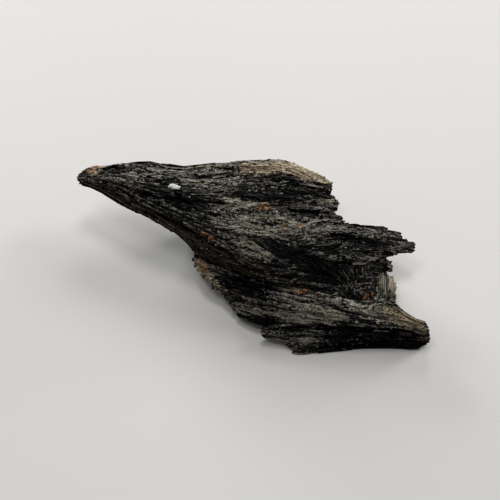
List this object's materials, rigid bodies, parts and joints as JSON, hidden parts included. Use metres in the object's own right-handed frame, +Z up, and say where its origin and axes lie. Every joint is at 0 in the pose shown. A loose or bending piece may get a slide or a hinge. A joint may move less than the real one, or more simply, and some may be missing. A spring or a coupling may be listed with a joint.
{
  "type": "black kyanite fan",
  "caption": "Natural fan of dark bladed crystals grown together, spreading from a narrow raised tip to ragged broken ends, lying on its rough underside.",
  "frame": {"origin": "middle of the footprint's box, on the surface that the specimen lies on", "axes": "+X along the blades, from the raised tip to the broken ends; +Y towards the back edge of the fan; +Z up, off the surface"},
  "size_m": [0.109, 0.0589, 0.0241],
  "materials": {
    "black_kyanite": "charcoal-black bladed crystal with silvery mica sparkle along the fibres, deep black grooves, and patches of cream, tan and rust-orange mineral crust"
  },
  "bodies": {
    "root": {"kyanite_fan": "black_kyanite"}
  },
  "joints": []
}
